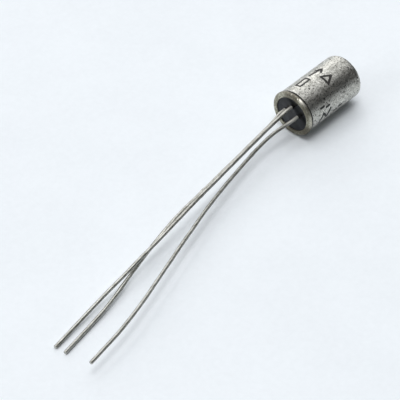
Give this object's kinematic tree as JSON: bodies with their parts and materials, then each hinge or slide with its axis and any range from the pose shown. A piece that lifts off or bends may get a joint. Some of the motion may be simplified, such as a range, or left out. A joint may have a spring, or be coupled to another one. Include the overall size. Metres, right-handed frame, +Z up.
{
  "type": "transistor",
  "caption": "Small-signal germanium transistor in a cylindrical metal can with a flanged glass-sealed header and long hand-bent wire leads",
  "frame": {"origin": "centre of the header ring's seating face, on the can's axis", "axes": "+X along the can's axis towards its closed end, the leads leave towards -X and drift to -Y, +Z up with the part lying on its side"},
  "size_m": [0.0537, 0.0129, 0.006],
  "materials": {
    "can_metal": "satin",
    "ring_metal": "satin",
    "seal_glass": "gloss",
    "tinned_wire": "satin",
    "tab_nickel": "satin",
    "solder": "satin",
    "wafer": "satin",
    "indium": "satin",
    "fine_wire": "satin",
    "grease": "gloss"
  },
  "bodies": {
    "root": {"can": "can_metal", "header_ring": "ring_metal", "glass_seal": "seal_glass", "emitter_lead": "tinned_wire", "base_lead": "tinned_wire", "collector_lead": "tinned_wire", "base_tab": "tab_nickel", "base_solder": "solder", "crystal": "wafer", "emitter_pellet": "indium", "collector_pellet": "indium", "emitter_wire": "fine_wire", "collector_wire": "fine_wire", "grease_fill": "grease"}
  },
  "joints": []
}
